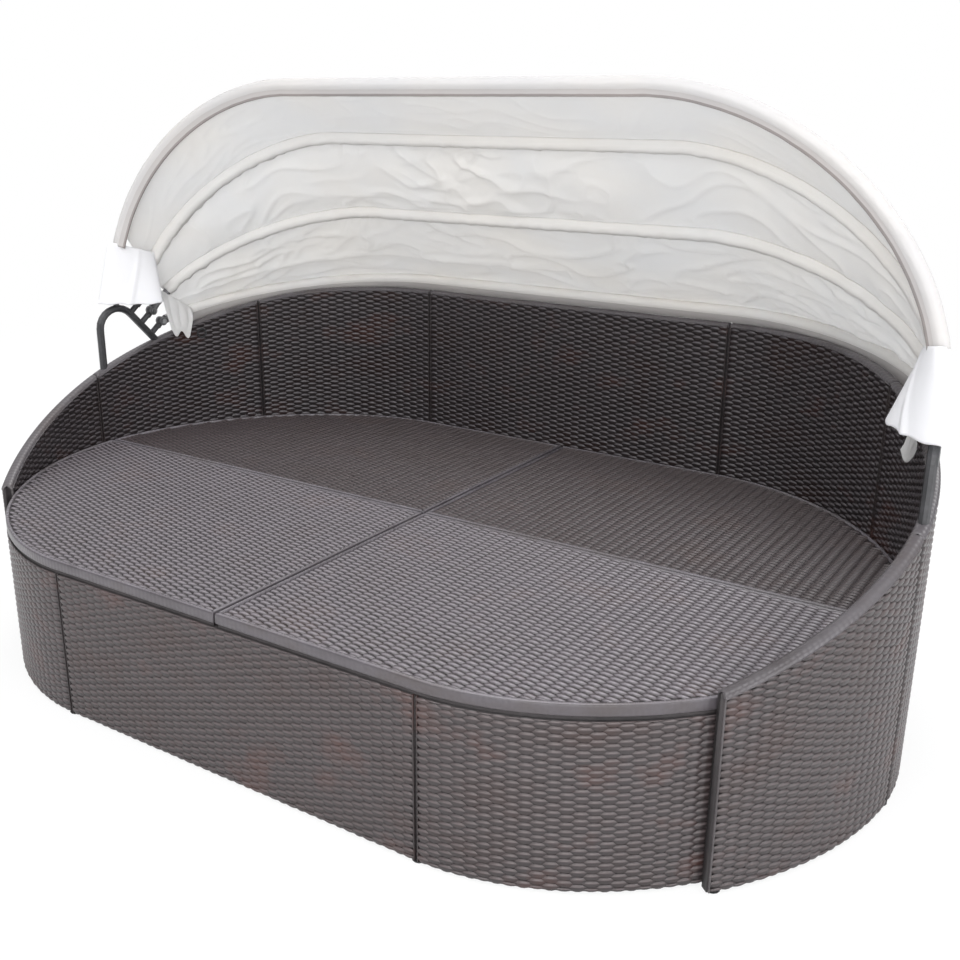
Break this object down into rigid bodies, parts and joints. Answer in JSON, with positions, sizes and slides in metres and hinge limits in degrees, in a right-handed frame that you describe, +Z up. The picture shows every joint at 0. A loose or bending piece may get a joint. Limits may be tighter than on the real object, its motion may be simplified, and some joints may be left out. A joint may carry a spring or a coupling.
{
  "type": "outdoor daybed with canopy",
  "caption": "Oval outdoor daybed: woven wall rising to the back round a lidded deck, with a cloth canopy on bows that folds back.",
  "frame": {"origin": "on the floor, under the crossing of the deck's two seams, at the sole of the centre leg", "axes": "+X along the daybed's length to the right as seen from the front, +Y to the back, +Z up"},
  "size_m": [2.008, 1.2288, 1.1736],
  "materials": {
    "weave": "flat strands of mixed grey and brown, woven, slight sheen",
    "frame": "dark grey powder coat",
    "bow": "grey powder coat",
    "pin": "satin",
    "foot": "matt black",
    "cloth": "off-white plain weave",
    "cord": "dark round cord"
  },
  "bodies": {
    "base": {"canopy_hoop_left": "frame", "canopy_hoop_right": "frame", "back_panel_center": "weave", "back_corner_panel_left": "weave", "back_corner_panel_right": "weave", "side_panel_left": "weave", "side_panel_right": "weave", "end_panel_left": "weave", "end_panel_right": "weave", "front_apron_center": "weave", "front_apron_left": "weave", "front_apron_right": "weave", "ledge_rail_left": "frame", "ledge_rail_right": "frame", "ledge_rail_back": "frame", "long_beam": "frame", "cross_beam_front": "frame", "cross_beam_rear": "frame", "center_leg": "frame", "deck_lid_front_left": "weave", "deck_lid_front_right": "weave", "deck_lid_rear_left": "weave", "deck_lid_rear_right": "weave", "glide_back_inner_left": "foot", "glide_back_inner_right": "foot", "glide_back_corner_left": "foot", "glide_back_corner_right": "foot", "glide_side_left": "foot", "glide_side_right": "foot", "glide_wall_end_left": "foot", "glide_wall_end_right": "foot", "glide_front_left": "foot", "glide_front_right": "foot", "rear_bow": "bow", "front_bow_pin_left": "pin", "front_bow_pin_right": "pin", "second_bow_pin_left": "pin", "second_bow_pin_right": "pin", "third_bow_pin_left": "pin", "third_bow_pin_right": "pin", "rear_bow_pin_left": "pin", "rear_bow_pin_right": "pin", "canopy_rear_pocket": "cloth", "tie_loop_left": "cord", "tie_loop_right": "cord"},
    "front_bow_body": {"front_bow": "bow", "canopy_front_pocket": "cloth", "canopy_front_panel": "cloth", "corner_flap_left": "cloth", "corner_flap_right": "cloth"},
    "second_bow_body": {"second_bow": "bow", "canopy_middle_panel": "cloth"},
    "third_bow_body": {"third_bow": "bow", "canopy_rear_panel": "cloth"}
  },
  "joints": [
    {"name": "canopy_fold", "type": "hinge", "parent": "base", "child": "front_bow_body", "pos_m": [0, 0.05167, 0.68778], "axis": [-1, 0, 0], "range_deg": [0, 52], "deforming": ["canopy_front_panel", "corner_flap_left", "corner_flap_right"]},
    {"name": "second_bow_fold", "type": "hinge", "parent": "base", "child": "second_bow_body", "pos_m": [0, 0.12072, 0.65583], "axis": [-1, 0, 0], "range_deg": [0, 43], "deforming": ["canopy_middle_panel"]},
    {"name": "third_bow_fold", "type": "hinge", "parent": "base", "child": "third_bow_body", "pos_m": [0, 0.14712, 0.62578], "axis": [-1, 0, 0], "range_deg": [0, 24], "deforming": ["canopy_rear_panel"]}
  ],
  "couplings": [
    {"joint": "second_bow_fold", "follows": "canopy_fold", "ratio": 0.82},
    {"joint": "third_bow_fold", "follows": "canopy_fold", "ratio": 0.45}
  ]
}
